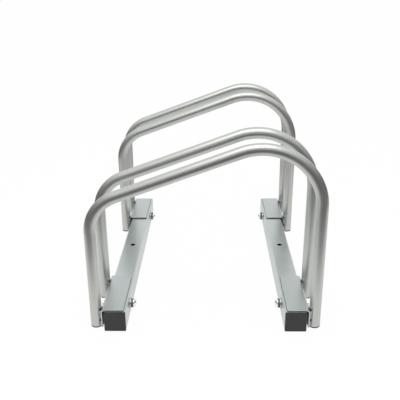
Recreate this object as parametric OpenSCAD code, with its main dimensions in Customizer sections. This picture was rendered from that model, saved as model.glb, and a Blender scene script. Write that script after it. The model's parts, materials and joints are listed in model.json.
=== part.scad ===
// Floor rack for two bicycles: four bent tube hoops on two square base rails.
// Millimetres. X runs across the hoops, Y along the rails, Z up from the floor.
// The origin is on the floor, in the middle of the rack.

/* [Base rails] */
// Length of each square rail, without its end plugs
rail_length = 422; // [380:2:560]
// Side of the square rail
rail_size = 30; // [26:1:36]
// Wall of the square rail
rail_wall = 1.5; // [1:0.1:2.5]
// Outside corner radius of the square rail
rail_corner_r = 1.8; // [1.5:0.1:4]
// Hole through the top and bottom of each rail for a floor anchor
anchor_hole_d = 8; // [6:0.5:12]

/* [Hoops] */
// Width over the outsides of both legs
hoop_width = 320; // [300:2:380]
// Height of the highest point above the floor
hoop_height = 266; // [250:1:320]
// Outside diameter of the hoop tube
tube_d = 16; // [14:0.5:20]
// Wall of the hoop tube
tube_wall = 1.2; // [0.8:0.1:2]
// Slope of the top bar in degrees, falling towards the low side
bar_slope = 20; // [14:1:24]
// Bend radius on the low side, at the tube's centre line
low_bend_r = 54; // [45:1:64]
// Bend radius on the high side, at the tube's centre line
high_bend_r = 80; // [66:1:88]
// Clear gap between the two hoops of a pair, where a wheel stands
wheel_slot = 62; // [50:1:75]

/* [Foot plugs] */
// Height of the foot plugs above the floor
foot_lift = 2; // [0:0.5:5]
// Thickness of the plug's cap under the tube
foot_cap_h = 2; // [1.2:0.1:4]
// Rounding of the cap's lower edge
foot_cap_round = 1; // [0.4:0.1:1.1]
// Length of the plug's stem inside the tube
foot_stem_h = 14; // [10:1:20]
// Clearance between the plug's ribs and the tube's bore
foot_fit = 0.1; // [0.05:0.05:0.3]

/* [Brackets] */
// Thickness of the bracket sheet
sheet_t = 2; // [1.5:0.1:3]
// Outside radius of the bracket's bend
sheet_bend_r = 4; // [3.2:0.1:6]
// Length of sheet beyond the hoop leg at each end of a bracket
sheet_overhang = 2; // [1:0.5:6]
// Distance from the bracket's end to the rail's end
bracket_inset = 1.5; // [0:0.5:8]
// Distance from the bracket's inner edge to the rail's inner face
sheet_setback = 3; // [1:0.5:8]
// Height of the flange's lower edge above the floor
flange_lift = 4.5; // [2:0.5:7]
// Gap between the flange and the rail's outer face
flange_gap = 2.5; // [0.5:0.5:5]

/* [Weld beads] */
// Radius of a bead in the groove between a leg and a flange
bead_r = 2.8; // [2:0.1:3.4]
// Length of the upper bead on each side of a leg
bead_top_len = 11; // [7:0.5:13]
// Length of the lower bead on each side of a leg
bead_low_len = 7; // [4:0.5:8]
// Distance from the flange's lower edge to the lower bead
bead_low_lift = 1.5; // [0.5:0.5:3]

/* [Bolts] */
// Thread diameter of the bolts
bolt_d = 8; // [6:0.5:8]
// Bolt hole in the flange and both side walls of the rail
bolt_hole_d = 9; // [8.5:0.1:9.5]
// Length of the bolt below its head
bolt_length = 40; // [38.5:0.5:41.5]
// Height of the bolt's axis above the floor
bolt_height = 14; // [12:0.5:17]
// Width across flats of the bolt head
head_af = 13; // [12:0.5:14]
// Height of the bolt head
head_h = 5.3; // [4:0.1:7]
// Outside diameter of the washer
washer_d = 16; // [14.5:0.5:18]
// Thickness of the washer
washer_t = 1.5; // [1:0.1:2]
// Width across flats of the cap nut
nut_af = 13; // [12:0.5:14]
// Height of the cap nut's hexagon
nut_hex_h = 3.4; // [2.5:0.1:4.5]
// Height of the cap nut over its dome
nut_h = 8; // [7.8:0.1:9.5]
// Depth of the threaded hole in the cap nut
nut_hole_h = 6; // [5.5:0.1:6.2]

/* [Rail plugs] */
// Thickness of the plug's lip on the rail's end
plug_lip = 1.5; // [1:0.1:3]
// Bevel around the face of the lip
plug_bevel = 0.6; // [0.2:0.1:0.9]
// Depth of the plug inside the rail
plug_depth = 16; // [12:1:24]
// Wall of the plug inside the rail
plug_wall = 1.6; // [1:0.1:2.5]
// Clearance between the plug's ribs and the rail's inner wall
plug_fit = 0.15; // [0.05:0.05:0.3]
// Height of a rib above the plug's wall
plug_rib = 0.6; // [0.4:0.1:0.9]

/* [Hidden] */
$fn = 64;
// Cutters reach this far past the faces that they open
past = 1;
// A weld bead stays this far off the leg beside it
seat = 0.05;
// A bolt's thread stays this far off its nut and washer, on each side
thread_fit = 0.1;
// A tube draws thinner in a bend by this much on its radius, and the straights lap into the bends
bend_draw = 0.06;
bend_lap = 0.2;
// Rings on a foot plug's stem: their height off the stem, width, spacing and distance from the cap
ring_rise = 0.5;
ring_h = 1.2;
ring_pitch = 3;
ring_start = 1;
ring_count = 4;
// Wall of a foot plug's hollow stem
stem_wall = 1.6;
// Height and spacing of the ribs round a rail plug
rib_h = 1.2;
rib_pitch = 4;
rib_count = 3;
// Smallest corner radius inside a rail or on a plug's body
least_corner_r = 0.2;
// A bead's axis, as shares of the tube's radius: off the flange, and out from the leg's side
bead_rise = 0.125;
bead_shift = 0.25;
// The cap nut's dome: step in from the flats, flattening of its sphere, and lap into the hexagon
dome_step = 0.3;
dome_flat = 0.9;
dome_lap = 1;
// The cone that bevels a bolt head's corners ends this far past the head
bevel_past = 0.01;
tube_r = tube_d / 2;
bore_d = tube_d - 2 * tube_wall;
leg_x = hoop_width / 2 - tube_r;
tube_end_z = foot_lift + foot_cap_h;
high_bend_x = leg_x - high_bend_r;
high_bend_z = hoop_height - tube_r + bend_draw - high_bend_r;
low_bend_x = low_bend_r - leg_x;
bend_step_x = high_bend_x - low_bend_x;
bend_step_r = high_bend_r - low_bend_r;
low_bend_z = high_bend_z + bend_step_r * cos(bar_slope)
    - (bend_step_x - bend_step_r * sin(bar_slope)) * tan(bar_slope);
bar_length = (bend_step_x - bend_step_r * sin(bar_slope)) / cos(bar_slope);
flange_out_x = hoop_width / 2 - tube_d;
flange_in_x = flange_out_x - sheet_t;
rail_x = flange_in_x - flange_gap - rail_size / 2;
rail_inner_x = rail_x - rail_size / 2;
sheet_edge_x = rail_inner_x + sheet_setback;
sheet_top_z = rail_size + sheet_t;
bracket_length = wheel_slot + 2 * tube_d + 2 * sheet_overhang;
bracket_y = rail_length / 2 - bracket_inset - bracket_length / 2;
leg_offset_y = (wheel_slot + tube_d) / 2;
bead_axis_x = bead_rise * tube_r;
bead_axis_y = (1 + bead_shift) * tube_r - bead_r;
bead_top_z = sheet_top_z - sheet_bend_r - bead_top_len;
bead_low_z = flange_lift + bead_low_lift;
nut_face_x = rail_inner_x - washer_t;
nut_dome_d = nut_af - 2 * dome_step;
nut_dome_r = nut_dome_d / 2 + dome_flat;

// Ends and sides: -1 is the front end or the left side, 1 the rear end or the right side
front = -1;
rear = 1;
left = -1;
right = 1;

// Y of a hoop's plane: the pair's middle, then towards the end (1) or the centre (-1)
function hoop_y(end, way) = end * (bracket_y + way * leg_offset_y);

// Square with round corners, centred
module round_square(size, r) {
    square([size - 2 * r, size], center = true);
    square([size, size - 2 * r], center = true);
    for (x = [-1, 1], y = [-1, 1])
        translate([x, y] * (size / 2 - r)) circle(r);
}

// Puts a shape that is drawn on the right-hand side on the given side
module at_side(side) {
    if (side == left) mirror([1, 0, 0]) children();
    else children();
}

// One square rail, open at both ends, with its bolt holes and its anchor hole
module rail(side) {
    color("#b4bab9")
    at_side(side)
    translate([rail_x, 0, rail_size / 2])
    difference() {
        rotate([90, 0, 0])
        linear_extrude(rail_length, center = true)
        difference() {
            round_square(rail_size, rail_corner_r);
            round_square(rail_size - 2 * rail_wall, max(rail_corner_r - rail_wall, least_corner_r));
        }
        for (end = [front, rear])
            translate([0, end * bracket_y, bolt_height - rail_size / 2])
            rotate([0, 90, 0])
            cylinder(d = bolt_hole_d, h = rail_size + 2 * past, center = true);
        cylinder(d = anchor_hole_d, h = rail_size + 2 * past, center = true);
    }
}

// Square plug pressed into a rail's end: bevelled lip, hollow body and three ribs round it
module rail_plug(side, end) {
    ribbed = rail_size - 2 * rail_wall - 2 * plug_fit;
    body = ribbed - 2 * plug_rib;
    body_r = max(rail_corner_r - rail_wall, least_corner_r);
    color("#3b3e3d")
    at_side(side)
    translate([rail_x, end * rail_length / 2, rail_size / 2])
    rotate([-90 * end, 0, 0]) {
        hull() {
            linear_extrude(plug_lip - plug_bevel)
                round_square(rail_size, rail_corner_r, $fn = 32);
            linear_extrude(plug_lip)
                round_square(rail_size - 2 * plug_bevel, rail_corner_r - plug_bevel, $fn = 32);
        }
        translate([0, 0, -plug_depth])
        linear_extrude(plug_depth)
        difference() {
            round_square(body, body_r);
            round_square(body - 2 * plug_wall, body_r);
        }
        for (i = [1 : rib_count])
            translate([0, 0, -i * rib_pitch])
            linear_extrude(rib_h)
            difference() {
                round_square(ribbed, body_r);
                round_square(body - plug_wall, body_r);
            }
    }
}

// Section of a bracket in X and Z: top leg, rounded bend, hanging flange
module bracket_section() {
    bend_x = flange_out_x - sheet_bend_r;
    bend_z = sheet_top_z - sheet_bend_r;
    translate([sheet_edge_x, rail_size]) square([bend_x - sheet_edge_x, sheet_t]);
    translate([flange_in_x, flange_lift]) square([sheet_t, bend_z - flange_lift]);
    translate([bend_x, bend_z])
    intersection() {
        difference() {
            circle(sheet_bend_r);
            circle(sheet_bend_r - sheet_t);
        }
        square(sheet_bend_r);
    }
}

// Bracket of bent sheet that lies on the rail and hangs down beside it
module bracket(side, end) {
    color("#bac0be")
    at_side(side)
    difference() {
        translate([0, end * bracket_y, 0])
        rotate([90, 0, 0])
        linear_extrude(bracket_length, center = true) bracket_section();
        translate([flange_in_x - past, end * bracket_y, bolt_height])
        rotate([0, 90, 0])
        cylinder(d = bolt_hole_d, h = sheet_t + 2 * past);
    }
}

// Straight stretch of round bar along +X, lapped into the bend at each marked end
module straight(d, len, lap_start, lap_end) {
    translate([-lap_start, 0, 0])
    rotate([0, 90, 0]) cylinder(d = d, h = len + lap_start + lap_end);
}

// Bend of round bar about the origin, from one angle through another
module bend(d, r, from, through) {
    rotate([0, 0, from])
    rotate_extrude(angle = through) translate([r, 0]) circle(d = d - 2 * bend_draw);
}

// Round bar of diameter d along the hoop's centre line, drawn in X and Y, longer by extra at each foot
module hoop_bar(d, extra) {
    foot_y = tube_end_z - extra;
    translate([-leg_x, foot_y]) rotate([0, 0, 90]) straight(d, low_bend_z - foot_y, 0, bend_lap);
    translate([low_bend_x, low_bend_z]) {
        bend(d, low_bend_r, 90 + bar_slope, 90 - bar_slope);
        rotate([0, 0, bar_slope])
            translate([0, low_bend_r]) straight(d, bar_length, bend_lap, bend_lap);
    }
    translate([high_bend_x, high_bend_z]) bend(d, high_bend_r, 0, 90 + bar_slope);
    translate([leg_x, foot_y]) rotate([0, 0, 90]) straight(d, high_bend_z - foot_y, 0, bend_lap);
}

// Hoop bent from one tube: low leg, low bend, sloping bar, high bend, high leg
module hoop(y) {
    color("#b9bab6")
    translate([0, y, 0])
    rotate([90, 0, 0])
    difference() {
        hoop_bar(tube_d, 0);
        hoop_bar(bore_d, past);
    }
}

// Half section of a foot plug: rounded cap, hollow stem and rings that grip the tube
module foot_plug_section() {
    ring_r = bore_d / 2 - foot_fit;
    stem_r = ring_r - ring_rise;
    square([tube_r - foot_cap_round, foot_cap_h]);
    translate([0, foot_cap_round]) square([tube_r, foot_cap_h - foot_cap_round]);
    translate([tube_r - foot_cap_round, foot_cap_round]) circle(foot_cap_round);
    translate([stem_r - stem_wall, foot_cap_h]) square([stem_wall, foot_stem_h]);
    for (i = [0 : ring_count - 1])
        translate([stem_r - stem_wall, foot_cap_h + ring_start + i * ring_pitch])
        square([ring_rise + stem_wall, ring_h]);
}

// Round plug in the foot of a hoop leg
module foot_plug(side, y) {
    color("#2f3231")
    translate([side * leg_x, y, foot_lift]) rotate_extrude() foot_plug_section();
}

// Hexagon bar of a given width across flats
module hexagon(af, h) {
    cylinder(d = af / cos(30), h = h, $fn = 6);
}

// Hexagon bolt through the flange and the rail
module bolt(side, end) {
    shank_lap = head_h / 2;
    color("#c2c5c6")
    at_side(side)
    translate([flange_out_x, end * bracket_y, bolt_height])
    rotate([0, 90, 0]) {
        intersection() {
            hexagon(head_af, head_h);
            cylinder(r1 = head_af, r2 = head_af / 2, h = head_h + bevel_past);
        }
        translate([0, 0, -bolt_length]) cylinder(d = bolt_d, h = bolt_length + shank_lap);
    }
}

// Flat washer under the cap nut
module washer(side, end) {
    color("#c2c5c6")
    at_side(side)
    translate([nut_face_x, end * bracket_y, bolt_height])
    rotate([0, 90, 0])
    difference() {
        cylinder(d = washer_d, h = washer_t);
        translate([0, 0, -past]) cylinder(d = bolt_d + 2 * thread_fit, h = washer_t + 2 * past);
    }
}

// Half section of the cap nut's dome
module nut_dome_section() {
    intersection() {
        translate([0, nut_h - nut_dome_r]) circle(nut_dome_r);
        translate([0, nut_hex_h - dome_lap]) square([nut_dome_d / 2, nut_h]);
    }
}

// Domed cap nut on the rail's inner side
module cap_nut(side, end) {
    color("#c8cacb")
    at_side(side)
    translate([nut_face_x, end * bracket_y, bolt_height])
    rotate([0, -90, 0])
    difference() {
        union() {
            hexagon(nut_af, nut_hex_h);
            rotate_extrude() nut_dome_section();
        }
        translate([0, 0, -past]) cylinder(d = bolt_d + 2 * thread_fit, h = nut_hole_h + past);
    }
}

// Bead in the groove between a leg and the flange, on one side of the leg
module bead(way, z, len) {
    translate([flange_out_x, 0, z])
    difference() {
        intersection() {
            translate([bead_axis_x, way * bead_axis_y, 0]) cylinder(r = bead_r, h = len);
            translate([0, -tube_d, 0]) cube([tube_d, 2 * tube_d, len]);
        }
        translate([tube_r, 0, -past]) cylinder(r = tube_r + seat, h = len + 2 * past);
    }
}

// Stitch welds that join the two legs of a pair to one flange
module welds(side, end) {
    color("#8f9392")
    at_side(side)
    for (leg = [-1, 1], way = [-1, 1])
        translate([0, hoop_y(end, leg), 0]) {
            bead(way, bead_top_z, bead_top_len);
            bead(way, bead_low_z, bead_low_len);
        }
}

rail(left);  // rail_left
rail(right);  // rail_right
rail_plug(left, front);  // rail_plug_front_left
rail_plug(right, front);  // rail_plug_front_right
rail_plug(left, rear);  // rail_plug_rear_left
rail_plug(right, rear);  // rail_plug_rear_right
bracket(left, front);  // bracket_front_left
bracket(right, front);  // bracket_front_right
bracket(left, rear);  // bracket_rear_left
bracket(right, rear);  // bracket_rear_right
hoop(hoop_y(front, 1));  // hoop_1_front
hoop(hoop_y(front, -1));  // hoop_2_front
hoop(hoop_y(rear, -1));  // hoop_3_rear
hoop(hoop_y(rear, 1));  // hoop_4_rear
foot_plug(left, hoop_y(front, 1));  // foot_plug_1_left
foot_plug(right, hoop_y(front, 1));  // foot_plug_1_right
foot_plug(left, hoop_y(front, -1));  // foot_plug_2_left
foot_plug(right, hoop_y(front, -1));  // foot_plug_2_right
foot_plug(left, hoop_y(rear, -1));  // foot_plug_3_left
foot_plug(right, hoop_y(rear, -1));  // foot_plug_3_right
foot_plug(left, hoop_y(rear, 1));  // foot_plug_4_left
foot_plug(right, hoop_y(rear, 1));  // foot_plug_4_right
bolt(left, front);  // bolt_front_left
bolt(right, front);  // bolt_front_right
bolt(left, rear);  // bolt_rear_left
bolt(right, rear);  // bolt_rear_right
washer(left, front);  // washer_front_left
washer(right, front);  // washer_front_right
washer(left, rear);  // washer_rear_left
washer(right, rear);  // washer_rear_right
cap_nut(left, front);  // cap_nut_front_left
cap_nut(right, front);  // cap_nut_front_right
cap_nut(left, rear);  // cap_nut_rear_left
cap_nut(right, rear);  // cap_nut_rear_right
welds(left, front);  // welds_front_left
welds(right, front);  // welds_front_right
welds(left, rear);  // welds_rear_left
welds(right, rear);  // welds_rear_right
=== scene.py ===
import contextlib
import json
import math
import random

import bmesh
import bpy
from bpy.props import FloatProperty, FloatVectorProperty, PointerProperty
from mathutils import Matrix, Vector

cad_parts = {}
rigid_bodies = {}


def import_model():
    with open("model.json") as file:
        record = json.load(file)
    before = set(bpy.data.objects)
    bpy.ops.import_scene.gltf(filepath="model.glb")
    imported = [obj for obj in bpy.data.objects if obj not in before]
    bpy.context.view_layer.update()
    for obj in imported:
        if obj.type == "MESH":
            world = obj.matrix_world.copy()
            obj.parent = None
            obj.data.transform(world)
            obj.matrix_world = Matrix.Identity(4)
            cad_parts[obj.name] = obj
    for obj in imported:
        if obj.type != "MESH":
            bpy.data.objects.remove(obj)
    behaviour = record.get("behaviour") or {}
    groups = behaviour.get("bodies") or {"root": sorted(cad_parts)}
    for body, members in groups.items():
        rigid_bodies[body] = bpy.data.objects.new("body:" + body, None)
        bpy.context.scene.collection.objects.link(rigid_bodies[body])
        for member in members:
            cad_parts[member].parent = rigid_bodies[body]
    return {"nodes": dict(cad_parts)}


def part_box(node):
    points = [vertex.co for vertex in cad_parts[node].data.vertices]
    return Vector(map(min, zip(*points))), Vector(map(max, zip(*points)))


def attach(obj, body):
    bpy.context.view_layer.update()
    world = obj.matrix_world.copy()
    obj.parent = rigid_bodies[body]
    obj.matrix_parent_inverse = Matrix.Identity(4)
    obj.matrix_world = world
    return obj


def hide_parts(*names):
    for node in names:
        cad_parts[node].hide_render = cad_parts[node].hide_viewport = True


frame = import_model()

bl_info = {
    "name": "Floor bike rack",
    "version": (1, 0, 0),
    "blender": (4, 5, 0),
    "location": "3D View > Sidebar > Bike rack",
    "description": "Finished pieces, finishes and studio for a floor rack of bent tube",
    "category": "Object",
}

MM = 0.001
NEAR = 0.01 * MM  # places that lie this close count as the same
ENDS = {"front": -1, "rear": 1}
SIDES = {"left": -1, "right": 1}
CORNERS = [(end, side) for end in ENDS for side in SIDES]
HOOPS = ["hoop_1_front", "hoop_2_front", "hoop_3_rear", "hoop_4_rear"]
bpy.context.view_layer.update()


def middle(node):
    """Middle of a CAD node's box."""
    low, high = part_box(node)
    return (low + high) / 2


def extent(node, axis):
    """Length of a CAD node's box along axis 0, 1 or 2."""
    low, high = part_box(node)
    return high[axis] - low[axis]


def linear(colour):
    """sRGB hex colour, such as "#c8cacb", as linear RGBA."""
    parts = [int(colour[i : i + 2], 16) / 255 for i in (1, 3, 5)]
    return [c / 12.92 if c <= 0.04045 else ((c + 0.055) / 1.055) ** 2.4 for c in parts] + [1.0]


def length(name, description, default):
    """A size in metres that the panel shows."""
    return FloatProperty(name=name, description=description, default=default, min=0.0,
                         precision=5, unit="LENGTH", subtype="DISTANCE")


def colour(name, description, default):
    """A colour that the panel shows."""
    return FloatVectorProperty(name=name, description=description, default=linear(default), size=4,
                               min=0.0, max=1.0, subtype="COLOR")


RAIL_LOW, RAIL_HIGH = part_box("rail_right")
SHEET_LOW, SHEET_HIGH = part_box("bracket_front_right")
BOLT_LOW, BOLT_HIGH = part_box("bolt_front_right")
NUT_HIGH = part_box("cap_nut_front_right")[1]
HOOP_LOW, HOOP_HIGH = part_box("hoop_1_front")
PLUG_LOW, PLUG_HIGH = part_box("rail_plug_front_right")


class RackSizes(bpy.types.PropertyGroup):
    """Sizes of the rack's finished pieces."""

    tube_diameter: length("Tube diameter", "Outside diameter of a hoop's tube", extent("hoop_1_front", 1))
    tube_wall: length("Tube wall", "Wall of a hoop's tube", 1.2 * MM)
    low_bend: length("Low bend", "Radius of the low bend at the tube's centre line", 54 * MM)
    high_bend: length("High bend", "Radius of the high bend at the tube's centre line", 80 * MM)
    bar_slope: FloatProperty(name="Bar slope", description="Slope of a hoop's top bar",
                             default=math.radians(20), subtype="ANGLE")
    rail_wall: length("Rail wall", "Wall of a base rail", 1.5 * MM)
    rail_corner: length("Rail corner", "Outside corner radius of a base rail", 1.8 * MM)
    anchor_hole: length("Anchor hole", "Diameter of the hole for a floor anchor", 8 * MM)
    bolt_hole: length("Bolt hole", "Diameter of the holes for the bolts", 9 * MM)
    sheet: length("Sheet", "Thickness of a bracket's sheet", 2 * MM)
    sheet_bend: length("Sheet bend", "Outside radius of a bracket's bend", 4 * MM)
    # Below this band the brackets' cut ends get painted shade
    sheet_bright: length("Bright band", "Height of the bright band on a bracket's cut ends", 1.1 * MM)
    plug_lip: length("Plug lip", "Thickness of a rail plug's lip", 1.5 * MM)
    plug_wall: length("Plug wall", "Wall of a rail plug's hollow body", 1.6 * MM)
    plug_fit: length("Plug fit", "Clearance between a rail plug's body and the rail's wall", 0.3 * MM)
    plug_bevel: length("Plug bevel", "Rounding of a rail plug's lip", 0.6 * MM)
    bolt_diameter: length("Bolt diameter", "Thread diameter of a bolt", 8 * MM)
    hexagon: length("Hexagon", "Width across the flats of bolt heads and nuts", 13 * MM)
    head_height: length("Head height", "Height of a bolt's head", 5.3 * MM)
    nut_hexagon: length("Nut hexagon", "Height of a cap nut's hexagon", 3.4 * MM)
    nut_height: length("Nut height", "Height of a cap nut over its dome", 8 * MM)
    dome_step: length("Dome step", "Step in from a cap nut's flats to its dome", 0.3 * MM)
    dome_flat: length("Dome flattening", "How much larger the dome's ball is than its waist", 0.9 * MM)
    bore_depth: length("Bore depth", "Depth of the threaded hole in a cap nut", 6 * MM)
    thread_fit: length("Thread fit", "Clearance between thread and nut, on each side", 0.1 * MM)
    bead_width: length("Bead width", "Diameter of a weld bead", 4.6 * MM)
    bead_off: length("Bead stand-off", "Distance of a bead's middle from the flange", 1.3 * MM)
    bead_out: length("Bead offset", "Distance of a bead's middle from the leg's middle", 5.6 * MM)
    bead_top: length("Upper bead", "Length of the upper bead on each side of a leg", 11 * MM)
    bead_low: length("Lower bead", "Length of the lower bead on each side of a leg", 7 * MM)


class RackFinishes(bpy.types.PropertyGroup):
    """Colours of the rack's finishes."""

    tube: colour("Tube", "Satin zinc on the hoops", "#c3c5c1")
    rail: colour("Rail", "Zinc on the base rails", "#c4cbca")
    sheet: colour("Sheet", "Zinc on the brackets", "#c3c9c8")
    # Painted shade: the dark colour for the brackets' cut edges, the anchor hole and the inside of the
    # rails
    painted_shade: colour("Painted shade in cuts and hollows", "Torn edges, drilled holes and the inside of the rails", "#2e3231")
    rail_plug: colour("Rail plug", "Plastic of the rail plugs", "#232524")
    foot_plug: colour("Foot plug", "Plastic of the foot plugs", "#080909")
    zinc: colour("Fastener zinc", "Bright zinc on bolts and washers", "#d4d6d7")
    chrome: colour("Chrome", "Chrome on the cap nuts", "#f4f5f5")
    # Painted dark reflection: the colour of the cap nuts' hexagon
    flats: colour("Nut flats", "Milled flats of the cap nuts", "#606466")
    weld: colour("Weld", "Zinc over the weld beads", "#a0a3a3")
    paper: colour("Paper", "The white floor", "#f8f8f8")
    # Painted light: the table card fades from the paper's white to this grey round a painted pool of light
    table: colour("Table", "The grey table beyond the paper", "#6c6c6c")
    # Painted shade: the screens darken to this at their foot
    screen: colour("Screen", "The dark foot of the screens round the table", "#848484")


class RackView(bpy.types.PropertyGroup):
    """Where the camera stands and how it looks at the rack."""

    place: FloatVectorProperty(name="Place", description="Where the camera stands", size=3,
                               default=(0.0066, -0.9083, 0.4713), subtype="TRANSLATION", unit="LENGTH")
    tilt: FloatProperty(name="Tilt", description="How far the camera looks down", default=0.3772,
                        subtype="ANGLE")
    turn: FloatProperty(name="Turn", description="How far the camera turns left", default=0.0179,
                        subtype="ANGLE")
    roll: FloatProperty(name="Roll", description="Roll of the camera", default=-0.0073, subtype="ANGLE")
    lens: FloatProperty(name="Lens", description="Focal length in millimetres on a 36 mm frame",
                        default=53.39, subtype="DISTANCE_CAMERA")


# Modelling


def deselect():
    """Leaves nothing selected, because an operator acts on all that is selected."""
    for obj in bpy.context.view_layer.objects:
        obj.select_set(False)


def only(*objs):
    """Selects these objects alone and makes the last one active."""
    deselect()
    for obj in objs:
        obj.select_set(True)
    bpy.context.view_layer.objects.active = objs[-1]
    return objs[-1]


def start(kind, **settings):
    """Adds a mesh primitive, such as "cube", with its size in its mesh."""
    deselect()
    getattr(bpy.ops.mesh, f"primitive_{kind}_add")(**settings)
    bpy.ops.object.transform_apply(location=True, rotation=True, scale=True)
    return bpy.context.active_object


@contextlib.contextmanager
def editing():
    """Edit mode on the active object, which selects vertices until a pick says otherwise."""
    bpy.ops.object.mode_set(mode="EDIT")
    bpy.ops.mesh.select_mode(type="VERT")
    yield
    bpy.ops.object.mode_set(mode="OBJECT")


def pick(kind, test):
    """In edit mode, selects the vertices, edges or faces that pass a test."""
    bpy.ops.mesh.select_mode(type=kind)
    bpy.ops.mesh.select_all(action="DESELECT")
    mesh = bpy.context.edit_object.data
    edit = bmesh.from_edit_mesh(mesh)
    for item in {"VERT": edit.verts, "EDGE": edit.edges, "FACE": edit.faces}[kind]:
        item.select_set(bool(test(item)))
    edit.select_flush_mode()
    bmesh.update_edit_mesh(mesh)


def extrude(x=0.0, y=0.0, z=0.0):
    """Extrudes the selection and moves it."""
    bpy.ops.mesh.extrude_region_move(TRANSFORM_OT_translate={"value": (x, y, z)})


def shrink(factor, centre, axes=(1, 1, 0)):
    """Scales the selection about a centre along the marked axes."""
    value = [factor if a else 1.0 for a in axes]
    bpy.ops.transform.resize(value=value, center_override=centre)


def tidy():
    """In edit mode, merges doubles and turns all faces outwards."""
    bpy.ops.mesh.select_all(action="SELECT")
    bpy.ops.mesh.remove_doubles(threshold=0.005 * MM)
    bpy.ops.mesh.normals_make_consistent(inside=False)


def modify(obj, kind, **settings):
    """Adds a modifier with its settings and applies it."""
    only(obj)
    modifier = obj.modifiers.new(kind.lower(), kind)
    for name, value in settings.items():
        setattr(modifier, name, value)
    bpy.ops.object.modifier_apply(modifier=modifier.name)


def combine(obj, operation, tool):
    """Cuts, joins or crosses obj with a tool, which is used up."""
    modify(obj, "BOOLEAN", operation=operation, object=tool, solver="EXACT")
    bpy.data.objects.remove(tool)


def ease(obj, radius, segments=2, angle=35):
    """Breaks the sharp edges with a small round and keeps the flats flat in the light."""
    if radius:
        modify(obj, "BEVEL", width=radius, segments=segments, limit_method="ANGLE",
               angle_limit=math.radians(angle), use_clamp_overlap=True)
    only(obj)
    bpy.ops.object.shade_smooth_by_angle(angle=math.radians(50))
    modify(obj, "WEIGHTED_NORMAL", keep_sharp=True, weight=100)


def copy_of(obj, turn=0.0, place=(0, 0, 0)):
    """Copies a piece with its own mesh, turned about Z and moved, with its place in its mesh."""
    only(obj)
    bpy.ops.object.duplicate(linked=False)
    new = bpy.context.active_object
    new.rotation_euler.z = turn
    new.location = place
    bpy.ops.object.transform_apply(location=True, rotation=True, scale=True)
    return new


def dress(obj, name, node, material):
    """Names a finished piece, gives it its finish, and lets it stand for its CAD node."""
    obj.name = obj.data.name = name
    obj.data.materials.clear()
    obj.data.materials.append(material)
    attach(obj, "root")
    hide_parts(node)


def part_finish(piece, material, test):
    """Gives the faces that pass a test a second finish."""
    only(piece)
    piece.data.materials.append(material)
    piece.active_material_index = len(piece.data.materials) - 1
    with editing():
        pick("FACE", test)
        bpy.ops.object.material_slot_assign()


def facing(side):
    """Turn about Z that brings a piece drawn for the right-hand side to the given side."""
    return math.pi if side == "left" else 0.0


# Finishes


def add_node(tree, kind, inputs=None, **settings):
    """Adds a node with its settings, and gives its inputs their values or links."""
    made = tree.nodes.new(kind)
    for name, value in settings.items():
        setattr(made, name, value)
    for key, value in (inputs or {}).items():
        if isinstance(value, bpy.types.NodeSocket):
            tree.links.new(value, made.inputs[key])
        else:
            made.inputs[key].default_value = value
    return made


def finish(name, pattern, **values):
    """A material with a Principled shader. pattern gets its tree and the object's coordinates, and
    gives the sockets that drive the shader's inputs over the surface."""
    material = bpy.data.materials.new(name)
    material.use_nodes = True
    tree = material.node_tree
    bsdf = tree.nodes["Principled BSDF"]
    for key, value in values.items():
        bsdf.inputs[key.replace("_", " ")].default_value = value
    where = add_node(tree, "ShaderNodeTexCoord").outputs["Object"]
    for key, socket in pattern(tree, where).items():
        tree.links.new(socket, bsdf.inputs[key])
    return material


def toned(base, factor):
    """A colour made lighter or darker by a factor."""
    return [min(1.0, part * factor) for part in base[:3]] + [1.0]


def zinc_plate(name, base, rough, patch, mottle, grain, depth):
    """Zinc plate on steel: its tone and its haze drift in soft patches, as the bath and the rinse
    leave them, over a fine grain. The real crystals are under 0.1 mm, too fine to show, so the grain
    is drawn at about a millimetre."""
    def pattern(tree, where):
        patches = add_node(tree, "ShaderNodeTexNoise",
                           {"Vector": where, "Scale": 1 / patch, "Detail": 2.0}).outputs[0]
        share = add_node(tree, "ShaderNodeMapRange",
                         {"Value": patches, "From Min": 0.3, "From Max": 0.7}).outputs[0]
        tone = add_node(tree, "ShaderNodeMix", {0: share, 6: toned(base, 1 - mottle),
                                                7: toned(base, 1 + mottle)}, data_type="RGBA")
        haze = add_node(tree, "ShaderNodeMapRange", {"Value": share, "To Min": rough * 0.95,
                                                     "To Max": rough * 1.05})
        fine = add_node(tree, "ShaderNodeTexNoise", {"Vector": where, "Scale": 1 / grain, "Detail": 2.0})
        relief = add_node(tree, "ShaderNodeBump", {"Height": fine.outputs[0], "Distance": depth})
        return {"Base Color": tone.outputs[2], "Roughness": haze.outputs[0], "Normal": relief.outputs[0]}
    return finish(name, pattern, Metallic=1.0)


def painted_shade_finish(base):
    """Painted shade: a dark, rough finish for the brackets' cut edges, the wall of the anchor hole
    and the inside of the rails, where shade falls."""
    name = "Painted shade in cuts and hollows"
    return bpy.data.materials.get(name) or zinc_plate(name, base, rough=0.5, patch=4 * MM, mottle=0.2,
                                                      grain=0.8 * MM, depth=0.02 * MM)


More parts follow.
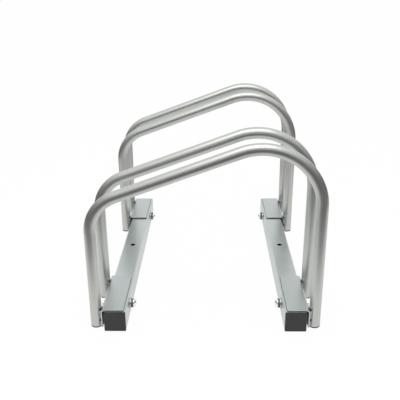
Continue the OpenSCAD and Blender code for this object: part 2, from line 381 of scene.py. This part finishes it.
def moulded_plastic(name, base, rough, grain, gloss=0.5):
    """Moulded polyethylene: a dull waxy skin with the fine grain of a spark-eroded mould, which is
    0.05 to 0.1 mm and is drawn coarser so that it shows."""
    patch = 9 * MM
    def pattern(tree, where):
        patches = add_node(tree, "ShaderNodeTexNoise", {"Vector": where, "Scale": 1 / patch}).outputs[0]
        share = add_node(tree, "ShaderNodeMapRange",
                         {"Value": patches, "From Min": 0.3, "From Max": 0.7}).outputs[0]
        tone = add_node(tree, "ShaderNodeMix", {0: share, 6: toned(base, 0.88), 7: toned(base, 1.12)},
                        data_type="RGBA")
        skin = add_node(tree, "ShaderNodeTexNoise",
                        {"Vector": where, "Scale": 1 / grain, "Detail": 3.0}).outputs[0]
        haze = add_node(tree, "ShaderNodeMapRange", {"Value": skin, "From Min": 0.3, "From Max": 0.7,
                                                     "To Min": rough - 0.06, "To Max": rough + 0.06})
        relief = add_node(tree, "ShaderNodeBump", {"Height": skin, "Distance": 0.03 * MM})
        return {"Base Color": tone.outputs[2], "Roughness": haze.outputs[0], "Normal": relief.outputs[0]}
    return finish(name, pattern, IOR=1.51, Specular_IOR_Level=gloss)


# Pieces


class RACK_OT_hoops(bpy.types.Operator):
    """Bends the four tube hoops"""

    bl_idname = "rack.hoops"
    bl_label = "Hoops"

    def execute(self, context):
        sizes, finishes = context.scene.rack_sizes, context.scene.rack_finishes
        radius, slope = sizes.tube_diameter / 2, sizes.bar_slope
        foot, top = HOOP_LOW.z, HOOP_HIGH.z
        leg = HOOP_HIGH.x - radius
        high = Vector((leg - sizes.high_bend, 0, top - radius - sizes.high_bend))
        low = Vector((sizes.low_bend - leg, 0, 0))
        run = (high.x - low.x) - (sizes.high_bend - sizes.low_bend) * math.sin(slope)
        rise = (sizes.high_bend - sizes.low_bend) * math.cos(slope)
        low.z = high.z + rise - run * math.tan(slope)
        hoop = start("circle", vertices=64, radius=radius, location=(-leg, 0, foot))
        with editing():
            bpy.ops.mesh.select_all(action="SELECT")
            extrude(z=low.z - foot)
            bpy.ops.mesh.spin(steps=28, angle=slope - math.pi / 2, center=low, axis=(0, 1, 0))
            extrude(x=run, z=run * math.tan(slope))
            bpy.ops.mesh.spin(steps=44, angle=-math.pi / 2 - slope, center=high, axis=(0, 1, 0))
            extrude(z=foot - high.z)
            tidy()
        modify(hoop, "SOLIDIFY", thickness=sizes.tube_wall, offset=-1.0, use_rim=True)
        ease(hoop, 0.15 * MM)
        # Drawn steel tube, plated after welding: one soft stripe of light along it and few marks
        material = zinc_plate("Satin zinc-plated steel tube", finishes.tube, rough=0.33, patch=34 * MM,
                              mottle=0.025, grain=1.2 * MM, depth=0.006 * MM)
        for node in HOOPS:
            piece = copy_of(hoop, place=(0, middle(node).y, 0))
            dress(piece, f"{node}_tube", node, material)
        bpy.data.objects.remove(hoop)
        return {"FINISHED"}


class RACK_OT_rails(bpy.types.Operator):
    """Cuts the two square base rails and drills them"""

    bl_idname = "rack.rails"
    bl_label = "Base rails"

    def dull(self, face, centre, sizes):
        """Whether a face gets painted shade: inside the rail, or in the wall of the anchor hole."""
        spot = face.calc_center_median() - centre
        most_of_wall = 0.8 * sizes.rail_wall
        inner = (RAIL_HIGH.z - RAIL_LOW.z) / 2 - most_of_wall
        inside = max(abs(spot.x), abs(spot.z)) < inner
        return inside or (spot.xy.length < sizes.anchor_hole / 2 and abs(face.normal.z) < 0.8)

    def execute(self, context):
        sizes, finishes = context.scene.rack_sizes, context.scene.rack_finishes
        size = RAIL_HIGH - RAIL_LOW
        centre = (RAIL_LOW + RAIL_HIGH) / 2
        rail = start("cube", size=1.0, scale=size)
        with editing():
            pick("FACE", lambda face: abs(face.normal.y) > 0.9)
            bpy.ops.mesh.delete(type="ONLY_FACE")
            pick("EDGE", lambda edge: abs((edge.verts[0].co - edge.verts[1].co).y) > size.y / 2)
            bpy.ops.mesh.bevel(offset=sizes.rail_corner, segments=8, affect="EDGES")
            tidy()
        modify(rail, "SOLIDIFY", thickness=sizes.rail_wall, offset=-1.0, use_rim=True)
        combine(rail, "DIFFERENCE", start("cylinder", vertices=48, radius=sizes.anchor_hole / 2,
                                          depth=2 * size.z))
        bolt_z = middle("bolt_front_right").z - centre.z
        for end in ENDS:
            y = middle(f"bolt_{end}_right").y
            combine(rail, "DIFFERENCE",
                    start("cylinder", vertices=48, radius=sizes.bolt_hole / 2, depth=2 * size.x,
                          location=(0, y, bolt_z), rotation=(0, math.pi / 2, 0)))
        ease(rail, 0.2 * MM, angle=60)
        # Welded square tube with a bright zinc plate: smooth, and a little cooler than the hoops
        material = zinc_plate("Zinc-plated square steel tube", finishes.rail, rough=0.3, patch=26 * MM,
                              mottle=0.02, grain=1.2 * MM, depth=0.0015 * MM)
        for side in SIDES:
            node = f"rail_{side}"
            piece = copy_of(rail, facing(side), middle(node))
            dress(piece, f"{node}_tube", node, material)
            # Painted shade inside the rail and in the wall of the anchor hole
            part_finish(piece, painted_shade_finish(finishes.painted_shade), lambda face: self.dull(face, middle(node), sizes))
        bpy.data.objects.remove(rail)
        return {"FINISHED"}


class RACK_OT_brackets(bpy.types.Operator):
    """Folds the four brackets"""

    bl_idname = "rack.brackets"
    bl_label = "Brackets"

    def dull(self, face, end, side, bend, shade_top):
        """Whether a face gets painted shade: towards the rail or the rack's middle, or low on an outer cut
        end, for the shadow gap under the sheet.
        """
        spot = face.calc_center_median()
        inwards = face.normal.x * side < -0.97 or face.normal.y * end < -0.97
        return inwards or (face.normal.y * end > 0.97 and bend.z < spot.z < shade_top and spot.x * side < bend.x)

    def execute(self, context):
        sizes, finishes = context.scene.rack_sizes, context.scene.rack_finishes
        half = sizes.sheet / 2
        reach = SHEET_HIGH.y - SHEET_LOW.y
        bend = Vector((SHEET_HIGH.x - sizes.sheet_bend, 0, SHEET_HIGH.z - sizes.sheet_bend))
        top = bend.x - SHEET_LOW.x
        centre = (SHEET_LOW.x + top / 2, 0, SHEET_HIGH.z - half)
        sheet = start("plane", size=1.0, location=centre)
        with editing():
            bpy.ops.mesh.select_all(action="SELECT")
            bpy.ops.transform.resize(value=(top, reach, 1), center_override=centre)
            pick("EDGE", lambda edge: all(v.co.x > bend.x - NEAR for v in edge.verts))
            bpy.ops.mesh.spin(steps=10, angle=-math.pi / 2, center=bend, axis=(0, 1, 0))
            extrude(z=SHEET_LOW.z - bend.z)
            tidy()
        modify(sheet, "SOLIDIFY", thickness=sizes.sheet, offset=0.0, use_even_offset=True)
        bolt = middle("bolt_front_right")
        combine(sheet, "DIFFERENCE",
                start("cylinder", vertices=48, radius=sizes.bolt_hole / 2, depth=8 * sizes.sheet,
                      location=(SHEET_HIGH.x - half, 0, bolt.z), rotation=(0, math.pi / 2, 0)))
        # The cut ends are split: a bright band at the top, and below it painted shade for the shadow gap
        # under the sheet
        shade_top = SHEET_HIGH.z - sizes.sheet_bright
        with editing():
            pick("FACE", lambda face: abs(face.normal.y) > 0.97 and face.calc_center_median().z > bend.z
                 and face.calc_center_median().x < bend.x)
            bpy.ops.mesh.bisect(plane_co=(0, 0, shade_top), plane_no=(0, 0, 1), threshold=0.001 * MM)
        ease(sheet, 0.3 * MM, angle=60)
        # Folded sheet with the same plate on a rolled skin: a wider, duller sheen than the rails
        material = zinc_plate("Zinc-plated steel sheet", finishes.sheet, rough=0.42, patch=30 * MM,
                              mottle=0.02, grain=1.2 * MM, depth=0.002 * MM)
        for end, side in CORNERS:
            node = f"bracket_{end}_{side}"
            piece = copy_of(sheet, facing(side), (0, middle(node).y, 0))
            dress(piece, f"{node}_sheet", node, material)
            # Painted shade on the edges towards the rail and the rack's middle, and low on the outer cut
            # ends
            part_finish(piece, painted_shade_finish(finishes.painted_shade),
                        lambda face: self.dull(face, ENDS[end], SIDES[side], bend, shade_top))
        bpy.data.objects.remove(sheet)
        return {"FINISHED"}


class RACK_OT_rail_plugs(bpy.types.Operator):
    """Moulds the four square plugs in the rails' ends"""

    bl_idname = "rack.rail_plugs"
    bl_label = "Rail plugs"

    def execute(self, context):
        sizes, finishes = context.scene.rack_sizes, context.scene.rack_finishes
        side = RAIL_HIGH.z - RAIL_LOW.z
        depth = PLUG_HIGH.y - PLUG_LOW.y - sizes.plug_lip
        body = side - 2 * (sizes.rail_wall + sizes.plug_fit)
        plug = start("cube", size=1.0, scale=(side, sizes.plug_lip, side))
        with editing():
            pick("EDGE", lambda edge: abs((edge.verts[0].co - edge.verts[1].co).y) > sizes.plug_lip / 2)
            bpy.ops.mesh.bevel(offset=sizes.rail_corner, segments=8, affect="EDGES")
            pick("FACE", lambda face: face.normal.y > 0.9)
            extrude()
            shrink(body / side, (0, 0, 0), axes=(1, 0, 1))
            extrude(y=depth)
            extrude()
            shrink(1 - 2 * sizes.plug_wall / body, (0, 0, 0), axes=(1, 0, 1))
            extrude(y=-depth)
            pick("EDGE", lambda edge: all(v.co.y < -sizes.plug_lip / 2 + NEAR for v in edge.verts)
                 and any(abs(face.normal.y) < 0.1 for face in edge.link_faces))
            bpy.ops.mesh.bevel(offset=sizes.plug_bevel, segments=4, affect="EDGES")
            tidy()
        ease(plug, 0)
        # Moulded with a smooth face: a soft grey gleam
        material = moulded_plastic("Moulded polyethylene, dark grey", finishes.rail_plug, rough=0.38,
                                   grain=0.7 * MM)
        for end, hand in CORNERS:
            node = f"rail_plug_{end}_{hand}"
            low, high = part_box(node)
            outer = low.y if end == "front" else high.y
            place = (middle(node).x, outer - ENDS[end] * sizes.plug_lip / 2, middle(node).z)
            piece = copy_of(plug, math.pi if end == "rear" else 0.0, place)
            dress(piece, f"{node}_cap", node, material)
        bpy.data.objects.remove(plug)
        return {"FINISHED"}


class RACK_OT_foot_plugs(bpy.types.Operator):
    """Gives the round foot plugs their plastic"""

    bl_idname = "rack.foot_plugs"
    bl_label = "Foot plugs"

    def execute(self, context):
        # Dyed right through and dull, so the feet end in a black line
        material = moulded_plastic("Moulded polyethylene, black", context.scene.rack_finishes.foot_plug,
                                   rough=0.6, grain=0.5 * MM, gloss=0.1)
        for number in (1, 2, 3, 4):
            for side in SIDES:
                obj = frame["nodes"][f"foot_plug_{number}_{side}"]
                obj.data.materials.clear()
                obj.data.materials.append(material)
        return {"FINISHED"}


def hexagon(width, height):
    """Upright hexagon bar with its upper corners cut back by a cone, as on bolt heads and nuts."""
    bar = start("cylinder", vertices=6, radius=width / 2 / math.cos(math.pi / 6), depth=height,
                location=(0, 0, height / 2), rotation=(0, 0, math.pi / 6))
    # The cone leaves a round flat a little narrower than the hexagon and slants by 30°
    slant = math.tan(math.radians(30))
    flat = width * 0.47
    cone = start("cone", vertices=96, radius1=flat + height / slant, radius2=flat, depth=height,
                 location=(0, 0, height / 2))
    combine(bar, "INTERSECT", cone)
    return bar


def on_axis(obj, face_x, way):
    """Lays an upright fastener along X with its foot on a face, pointing way."""
    only(obj)
    obj.rotation_euler.y = way * math.pi / 2
    obj.location = (face_x, 0, middle("bolt_front_right").z)
    bpy.ops.object.transform_apply(location=True, rotation=True, scale=True)


class RACK_OT_bolts(bpy.types.Operator):
    """Makes the hexagon bolts and the washers"""

    bl_idname = "rack.bolts"
    bl_label = "Bolts and washers"

    def execute(self, context):
        sizes, finishes = context.scene.rack_sizes, context.scene.rack_finishes
        bolt = hexagon(sizes.hexagon, sizes.head_height)
        reach = BOLT_HIGH.x - BOLT_LOW.x - sizes.head_height
        lap = chamfer = 1 * MM
        shank = start("cylinder", vertices=48, radius=sizes.bolt_diameter / 2, depth=reach + lap,
                      location=(0, 0, (lap - reach) / 2))
        with editing():
            pick("EDGE", lambda edge: all(v.co.z < chamfer - reach for v in edge.verts))
            bpy.ops.mesh.bevel(offset=chamfer, segments=1, affect="EDGES")
        combine(bolt, "UNION", shank)
        ease(bolt, 0.15 * MM)
        on_axis(bolt, SHEET_HIGH.x, 1)
        washer_low, washer_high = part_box("washer_front_right")
        outer = (washer_high.z - washer_low.z) / 2
        inner = sizes.bolt_diameter / 2 + 2 * sizes.thread_fit
        thick = washer_high.x - washer_low.x
        washer = start("circle", vertices=64, radius=outer)
        with editing():
            bpy.ops.mesh.select_all(action="SELECT")
            extrude()
            shrink(inner / outer, (0, 0, 0))
            tidy()
        modify(washer, "SOLIDIFY", thickness=thick, offset=0.0)
        ease(washer, 0.25 * MM)
        on_axis(washer, (washer_low.x + washer_high.x) / 2, 1)
        # Cold-headed steel with bright zinc: it mirrors softly, with faint cloudy patches
        material = zinc_plate("Bright zinc-plated steel fastener", finishes.zinc, rough=0.15,
                              patch=6 * MM, mottle=0.06, grain=0.8 * MM, depth=0.003 * MM)
        for end, side in CORNERS:
            y = middle(f"bolt_{end}_{side}").y
            piece = copy_of(bolt, facing(side), (0, y, 0))
            dress(piece, f"bolt_{end}_{side}_hex", f"bolt_{end}_{side}", material)
            piece = copy_of(washer, facing(side), (0, y, 0))
            dress(piece, f"washer_{end}_{side}_ring", f"washer_{end}_{side}", material)
        for obj in (bolt, washer):
            bpy.data.objects.remove(obj)
        return {"FINISHED"}


class RACK_OT_cap_nuts(bpy.types.Operator):
    """Makes the domed cap nuts"""

    bl_idname = "rack.cap_nuts"
    bl_label = "Cap nuts"

    def execute(self, context):
        sizes, finishes = context.scene.rack_sizes, context.scene.rack_finishes
        nut = hexagon(sizes.hexagon, sizes.nut_hexagon)
        waist = sizes.hexagon / 2 - sizes.dome_step
        ball = waist + sizes.dome_flat
        centre = sizes.nut_height - ball
        neck = centre + math.sqrt(ball**2 - waist**2)
        dome = start("uv_sphere", segments=64, ring_count=48, radius=ball, location=(0, 0, centre))
        with editing():
            bpy.ops.mesh.select_all(action="SELECT")
            bpy.ops.mesh.bisect(plane_co=(0, 0, neck), plane_no=(0, 0, 1), use_fill=True, clear_inner=True,
                                threshold=0.001 * MM)
            pick("FACE", lambda face: all(v.co.z < neck + NEAR for v in face.verts))
            extrude(z=sizes.nut_hexagon / 2 - neck)
            tidy()
        combine(nut, "UNION", dome)
        bore = start("cylinder", vertices=48, radius=sizes.bolt_diameter / 2 + sizes.thread_fit,
                     depth=2 * sizes.bore_depth)
        combine(nut, "DIFFERENCE", bore)
        ease(nut, 0.12 * MM, angle=25)
        on_axis(nut, NUT_HIGH.x, -1)
        # Polished chrome plate: a hard mirror with the finest haze, which the polishing mop leaves in
        # traces a few millimetres wide
        trace = 3 * MM
        def pattern(tree, where):
            haze = add_node(tree, "ShaderNodeTexNoise", {"Vector": where, "Scale": 1 / trace}).outputs[0]
            share = add_node(tree, "ShaderNodeMapRange",
                             {"Value": haze, "From Min": 0.3, "From Max": 0.7}).outputs[0]
            tone = add_node(tree, "ShaderNodeMix", {0: share, 6: toned(finishes.chrome, 0.97),
                                                    7: toned(finishes.chrome, 1.03)}, data_type="RGBA")
            blur = add_node(tree, "ShaderNodeMapRange", {"Value": share, "To Min": 0.06, "To Max": 0.12})
            return {"Base Color": tone.outputs[2], "Roughness": blur.outputs[0]}
        material = finish("Polished chrome plate", pattern, Metallic=1.0)
        # Painted dark reflection: the hexagon gets a dark grey finish for the dark reflection in its flats
        flats = zinc_plate("Painted dark reflection on the nut's hexagon", finishes.flats, rough=0.25, patch=4 * MM,
                           mottle=0.05, grain=0.8 * MM, depth=0.002 * MM)
        for end, side in CORNERS:
            node = f"cap_nut_{end}_{side}"
            piece = copy_of(nut, facing(side), (0, middle(node).y, 0))
            dress(piece, f"{node}_dome", node, material)
            slack = 0.05 * MM
            edge = NUT_HIGH.x - sizes.nut_hexagon - slack
            part_finish(piece, flats, lambda face: face.calc_center_median().x * SIDES[side] > edge)
        bpy.data.objects.remove(nut)
        return {"FINISHED"}


class RACK_OT_welds(bpy.types.Operator):
    """Lays the rippled weld beads between the hoops and the brackets"""

    bl_idname = "rack.welds"
    bl_label = "Welds"

    def bead(self, width, reach, draw):
        """One upright bead: round drops that lap each other, as a weld pool leaves them."""
        pitch = 1.1 * MM
        # One ring round each drop's middle and one in the dip after it, in shares of the full radius
        rings = 2 * max(3, round(reach / pitch))
        rise = reach / rings
        tip = factor = 0.45
        bead = start("circle", vertices=20, radius=tip * width / 2)
        z = 0.0
        with editing():
            bpy.ops.mesh.select_all(action="SELECT")
            for ring in range(rings):
                swell = draw.uniform(0.93, 1.0) if ring % 2 == 0 else draw.uniform(0.82, 0.87)
                if ring == rings - 1:
                    swell = tip
                z += rise
                extrude(z=rise)
                shrink(swell / factor, (0, 0, z))
                factor = swell
            bpy.ops.mesh.select_all(action="SELECT")
            bpy.ops.mesh.fill_holes(sides=0)
            tidy()
        return bead

    def execute(self, context):
        sizes, finishes = context.scene.rack_sizes, context.scene.rack_finishes
        # Weld metal under the plate: lumpy and blotched, duller than the tube beside it
        material = zinc_plate("Plated weld bead", finishes.weld, rough=0.42, patch=3 * MM, mottle=0.3,
                              grain=0.9 * MM, depth=0.03 * MM)
        draw = random.Random(11)
        low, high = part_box("welds_front_right")
        spans = [(high.z - sizes.bead_top, sizes.bead_top), (low.z, sizes.bead_low)]
        for end, side in CORNERS:
            node = f"welds_{end}_{side}"
            centre = middle(node).y
            legs = [middle(name).y for name in HOOPS if name.endswith(end)]
            beads = []
            for leg in legs:
                for way in (-1, 1):
                    for z, reach in spans:
                        one = self.bead(sizes.bead_width, reach, draw)
                        # In the groove where the round tube leaves the flat sheet
                        one.location = (SHEET_HIGH.x + sizes.bead_off,
                                        leg - centre + way * sizes.bead_out, z)
                        beads.append(one)
            joined = only(*beads)
            bpy.ops.object.join()
            bpy.ops.object.transform_apply(location=True, rotation=True, scale=True)
            only(joined)
            bpy.ops.object.shade_smooth_by_angle(angle=math.radians(60))
            piece = copy_of(joined, facing(side), (0, centre, 0))
            dress(piece, f"{node}_beads", node, material)
            bpy.data.objects.remove(joined)
        return {"FINISHED"}


class RACK_OT_studio(bpy.types.Operator):
    """Sets up the floor, the screens, the lights and the camera"""

    bl_idname = "rack.studio"
    bl_label = "Studio"

    def card(self, name, near, far, scale, reach, centre=(0, 0, 0)):
        """A dull card whose colour fades from near to far with the scaled distance from a centre."""
        def pattern(tree, where):
            shift = [-part * factor for part, factor in zip(centre, scale)]
            place = add_node(tree, "ShaderNodeMapping",
                             {"Vector": where, "Location": shift, "Scale": scale})
            away = add_node(tree, "ShaderNodeVectorMath", {0: place.outputs[0]}, operation="LENGTH")
            share = add_node(tree, "ShaderNodeMapRange",
                             {"Value": away.outputs["Value"], "From Min": reach[0], "From Max": reach[1]},
                             interpolation_type="SMOOTHSTEP")
            tone = add_node(tree, "ShaderNodeMix", {0: share.outputs[0], 6: near, 7: far}, data_type="RGBA")
            return {"Base Color": tone.outputs[2]}
        return finish(name, pattern, Roughness=0.9, IOR=1.3)

    def paper(self, base):
        """White paper: the camera and reflections see it as nearly white, so it keeps a soft shadow."""
        in_camera, in_mirrors = 0.96, 0.7
        material = finish("White paper", lambda tree, where: {}, Base_Color=base, Roughness=0.9, IOR=1.3)
        tree = material.node_tree
        bsdf = tree.nodes["Principled BSDF"]
        path = add_node(tree, "ShaderNodeLightPath")
        mirrored = add_node(tree, "ShaderNodeMath", {0: path.outputs["Is Glossy Ray"],
                                                     1: path.outputs["Is Transmission Ray"]},
                            operation="MAXIMUM")
        part = add_node(tree, "ShaderNodeMath", {0: mirrored.outputs[0], 1: in_mirrors},
                        operation="MULTIPLY")
        share = add_node(tree, "ShaderNodeMath", {0: path.outputs["Is Camera Ray"], 1: in_camera,
                                                  2: part.outputs[0]}, operation="MULTIPLY_ADD")
        white = add_node(tree, "ShaderNodeEmission", {"Color": (1, 1, 1, 1), "Strength": 1.0})
        mix = add_node(tree, "ShaderNodeMixShader",
                       {0: share.outputs[0], 1: bsdf.outputs[0], 2: white.outputs[0]})
        tree.links.new(mix.outputs[0], tree.nodes["Material Output"].inputs["Surface"])
        return material

    def seen(self, tree):
        """1 for rays from the camera, a reflection or glass, and 0 for the rest."""
        path = add_node(tree, "ShaderNodeLightPath")
        first = add_node(tree, "ShaderNodeMath", {0: path.outputs["Is Camera Ray"],
                                                  1: path.outputs["Is Glossy Ray"]}, operation="MAXIMUM")
        return add_node(tree, "ShaderNodeMath", {0: first.outputs[0],
                                                 1: path.outputs["Is Transmission Ray"]},
                        operation="MAXIMUM").outputs[0]

    def execute(self, context):
        finishes, view = context.scene.rack_finishes, context.scene.rack_view
        # Reflections see the paper fall off to a grey table, and screens that are dark low down
        # and stand all round but for the back. Both fades are painted: a painted pool of light on the
        # table card, and painted shade at the foot of the screens. Paper and table lie a hair under and
        # over the ground
        hair = 0.05 * MM
        floor = start("plane", size=24.0, location=(0, 0, -hair))
        floor.name = "floor"
        floor.data.materials.append(self.paper(finishes.paper))
        # The pool of light on the paper: its middle, its depth over its width, and where it starts
        # and stops to fade. The table runs from there to eight times as far out
        pool = (0.02, 0.01, 0.0)
        flat, near, far = 0.54, 0.29, 0.57
        table = start("circle", vertices=96, radius=near, location=(pool[0], pool[1], hair))
        with editing():
            bpy.ops.mesh.select_all(action="SELECT")
            shrink(1 / flat, pool, axes=(1, 0, 0))
            extrude()
            shrink(8.0, pool)
            tidy()
        table.name = "table"
        table.data.materials.append(self.card("Grey table", finishes.paper, finishes.table, (flat, 1, 0),
                                              (near, far), pool))
        # How far off and how tall the screens are, and between which heights their painted shade turns
        # white
        away = tall = 1.6
        dark, white = 0.3, 1.4
        screen = start("cylinder", vertices=64, radius=away, depth=tall, end_fill_type="NOTHING",
                       location=(0, 0, tall / 2))
        with editing():
            pick("FACE", lambda face: face.calc_center_median().y > 0.56 * away)
            bpy.ops.mesh.delete(type="FACE")
        screen.name = "screen"
        screen.data.materials.append(self.card("Screen", finishes.screen, finishes.paper, (0, 0, 1),
                                               (dark, white)))
        for obj in (table, screen):
            obj.visible_camera = obj.visible_diffuse = obj.visible_shadow = False

        world = bpy.data.worlds.new("Studio")
        context.scene.world = world
        world.use_nodes = True
        tree = world.node_tree
        # The sky lights the rack a little less than it shows white
        on_objects, in_view = 0.84, 1.0
        strength = add_node(tree, "ShaderNodeMapRange", {"Value": self.seen(tree), "To Min": on_objects,
                                                         "To Max": in_view})
        tree.nodes["Background"].inputs["Color"].default_value = (1, 1, 1, 1)
        tree.links.new(strength.outputs[0], tree.nodes["Background"].inputs["Strength"])

        deselect()
        bpy.ops.object.light_add(type="AREA", location=(0.0, -0.6, 1.5))
        lamp = context.active_object
        lamp.name = "softbox"
        lamp.data.shape = "SQUARE"
        lamp.data.size = 1.2
        lamp.data.energy = 6.6

        bpy.ops.object.camera_add(location=view.place)
        camera = context.active_object
        camera.name = "camera"
        camera.data.sensor_width = 36.0
        camera.data.lens = view.lens
        camera.data.clip_start = 0.01
        look = (Matrix.Rotation(view.turn, 4, "Z") @ Matrix.Rotation(math.pi / 2 - view.tilt, 4, "X")
                @ Matrix.Rotation(view.roll, 4, "Z"))
        camera.matrix_world = Matrix.Translation(view.place) @ look
        context.scene.camera = camera
        context.scene.view_settings.view_transform = "Standard"
        return {"FINISHED"}


OPERATORS = (RACK_OT_hoops, RACK_OT_rails, RACK_OT_brackets, RACK_OT_rail_plugs, RACK_OT_foot_plugs,
             RACK_OT_bolts, RACK_OT_cap_nuts, RACK_OT_welds, RACK_OT_studio)


class RACK_PT_panel(bpy.types.Panel):
    """The rack's sizes, finishes and steps"""

    bl_label = "Floor bike rack"
    bl_space_type = "VIEW_3D"
    bl_region_type = "UI"
    bl_category = "Bike rack"

    def draw(self, context):
        for group in (context.scene.rack_sizes, context.scene.rack_finishes, context.scene.rack_view):
            box = self.layout.box()
            for name in group.bl_rna.properties.keys():
                if name not in ("rna_type", "name"):
                    box.prop(group, name)
        for operator in OPERATORS:
            self.layout.operator(operator.bl_idname)


CLASSES = (RackSizes, RackFinishes, RackView, *OPERATORS, RACK_PT_panel)


def register():
    for cls in CLASSES:
        bpy.utils.register_class(cls)
    bpy.types.Scene.rack_sizes = PointerProperty(type=RackSizes)
    bpy.types.Scene.rack_finishes = PointerProperty(type=RackFinishes)
    bpy.types.Scene.rack_view = PointerProperty(type=RackView)


def unregister():
    del bpy.types.Scene.rack_view, bpy.types.Scene.rack_finishes, bpy.types.Scene.rack_sizes
    for cls in reversed(CLASSES):
        bpy.utils.unregister_class(cls)


def main():
    register()
    for operator in OPERATORS:
        group, name = operator.bl_idname.split(".")
        if getattr(getattr(bpy.ops, group), name)() != {"FINISHED"}:
            raise RuntimeError(f"{operator.bl_label} didn't finish")


if __name__ == "__main__":
    main()
